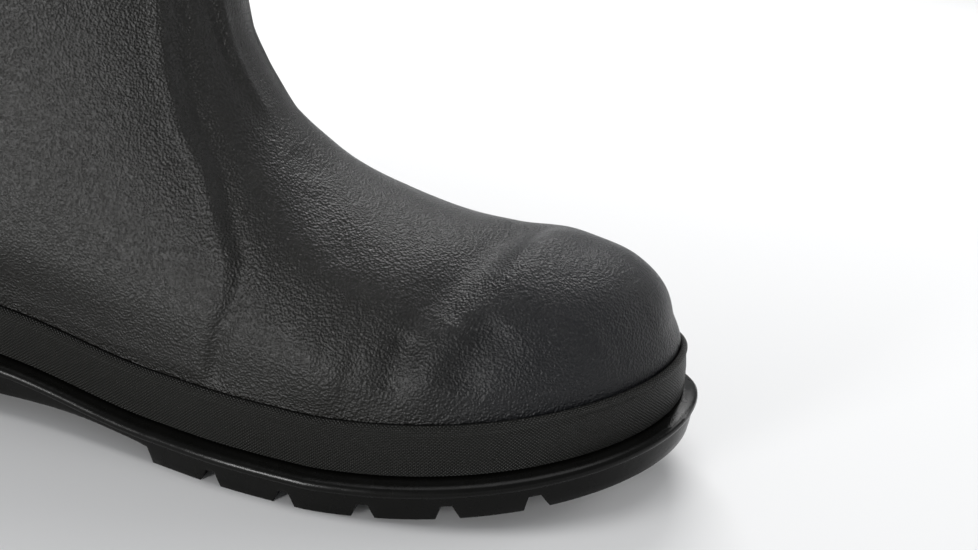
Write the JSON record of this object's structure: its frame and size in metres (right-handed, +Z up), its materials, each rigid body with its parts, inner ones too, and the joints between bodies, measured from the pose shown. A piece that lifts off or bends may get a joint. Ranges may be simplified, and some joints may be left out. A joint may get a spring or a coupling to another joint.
{
  "type": "safety wellington boot",
  "caption": "Knee-high black rubber safety boot for the right foot, with a steel toe, a raised ankle overlay, a textured foxing band and a lugged sole with a heel.",
  "frame": {"origin": "middle of the boot's box, on the floor it stands on", "axes": "+X towards the toe, +Y towards the inner side of the foot, +Z up"},
  "size_m": [0.305, 0.121, 0.3851],
  "materials": {
    "upper": "satin black rubber with a fine pebble grain",
    "band": "matt black rubber with a fine diagonal knurl and a rounded top bead",
    "sole": "smooth, slightly glossy black rubber",
    "insole": "grey felt"
  },
  "bodies": {
    "root": {"upper": "upper", "foxing_band": "band", "outsole": "sole", "insole": "insole"}
  },
  "joints": []
}
